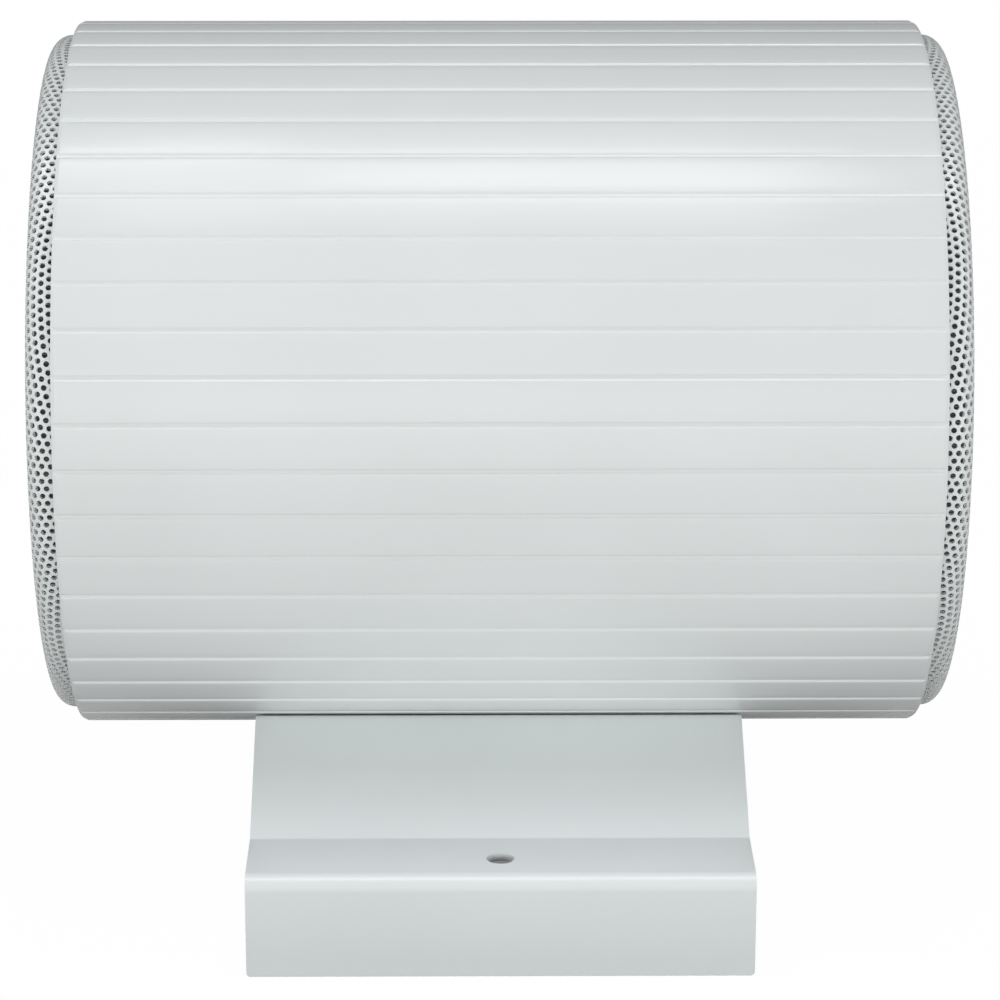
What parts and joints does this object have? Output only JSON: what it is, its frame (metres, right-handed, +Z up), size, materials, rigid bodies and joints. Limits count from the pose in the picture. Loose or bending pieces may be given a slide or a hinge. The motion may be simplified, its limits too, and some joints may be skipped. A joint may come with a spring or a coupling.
{
  "type": "sound projector",
  "caption": "Two-way sound projector: grooved cylinder with a domed perforated grille and loudspeaker at each end, on a folded screw-down bracket.",
  "frame": {"origin": "middle of the bracket's underside, on the surface that it is screwed to", "axes": "+X along the tube towards the right-hand grille, +Y to the back, +Z up from the surface"},
  "size_m": [0.2288, 0.211, 0.2059],
  "materials": {
    "tube_paint": "light grey satin powder coat on an aluminium extrusion",
    "bracket_paint": "light grey satin powder coat on folded sheet",
    "grille_paint": "light grey satin powder coat on perforated sheet",
    "dust_cloth": "black acoustic cloth",
    "gasket_rubber": "black cellular rubber",
    "baffle_plastic": "black moulded plastic, fine texture",
    "zinc_steel": "bright zinc plating",
    "basket_paint": "black enamel on pressed steel",
    "ferrite": "sintered ferrite, dull grey-black",
    "cone_paper": "black pressed paper pulp",
    "spider_cloth": "resin-dipped woven cloth",
    "former_film": "amber film",
    "copper_wire": "enamelled copper wire",
    "core_steel": "varnished steel laminations",
    "bobbin_plastic": "natural nylon",
    "block_ceramic": "unglazed steatite",
    "gland_plastic": "grey nylon",
    "lead_cover": "flexible lead insulation"
  },
  "bodies": {
    "housing": {"housing_tube": "tube_paint", "mounting_bracket": "bracket_paint", "saddle_gasket": "gasket_rubber", "bracket_screws": "zinc_steel", "bracket_washers": "zinc_steel", "gland_body": "gland_plastic", "gland_locknut": "gland_plastic", "gland_cap": "gland_plastic", "gland_seal": "gasket_rubber", "transformer_core": "core_steel", "transformer_bobbin": "bobbin_plastic", "transformer_winding": "copper_wire", "transformer_strap": "zinc_steel", "transformer_screws": "zinc_steel", "terminal_block": "block_ceramic", "terminal_screws": "zinc_steel", "supply_lead": "lead_cover", "left_grille": "grille_paint", "left_dust_cloth": "dust_cloth", "left_grille_gasket": "gasket_rubber", "left_baffle": "baffle_plastic", "left_baffle_screws": "zinc_steel", "left_basket": "basket_paint", "left_surround": "gasket_rubber", "left_front_gasket": "gasket_rubber", "left_driver_screws": "zinc_steel", "left_spider": "spider_cloth", "left_top_plate": "zinc_steel", "left_magnet": "ferrite", "left_yoke": "zinc_steel", "left_tag_strip": "former_film", "left_driver_lead": "lead_cover", "right_grille": "grille_paint", "right_dust_cloth": "dust_cloth", "right_grille_gasket": "gasket_rubber", "right_baffle": "baffle_plastic", "right_baffle_screws": "zinc_steel", "right_basket": "basket_paint", "right_surround": "gasket_rubber", "right_front_gasket": "gasket_rubber", "right_driver_screws": "zinc_steel", "right_spider": "spider_cloth", "right_top_plate": "zinc_steel", "right_magnet": "ferrite", "right_yoke": "zinc_steel", "right_tag_strip": "former_film", "right_driver_lead": "lead_cover"},
    "left_cone_unit": {"left_cone": "cone_paper", "left_dust_cap": "cone_paper", "left_coil_former": "former_film", "left_voice_coil": "copper_wire"},
    "right_cone_unit": {"right_cone": "cone_paper", "right_dust_cap": "cone_paper", "right_coil_former": "former_film", "right_voice_coil": "copper_wire"}
  },
  "joints": [
    {"name": "left_cone_travel", "type": "slide", "parent": "housing", "child": "left_cone_unit", "axis": [-1, 0, 0], "range_m": [-0.003, 0.003], "stiffness_N_per_m": 1000, "deforming": ["left_surround", "left_spider"]},
    {"name": "right_cone_travel", "type": "slide", "parent": "housing", "child": "right_cone_unit", "axis": [1, 0, 0], "range_m": [-0.003, 0.003], "stiffness_N_per_m": 1000, "deforming": ["right_surround", "right_spider"]}
  ]
}
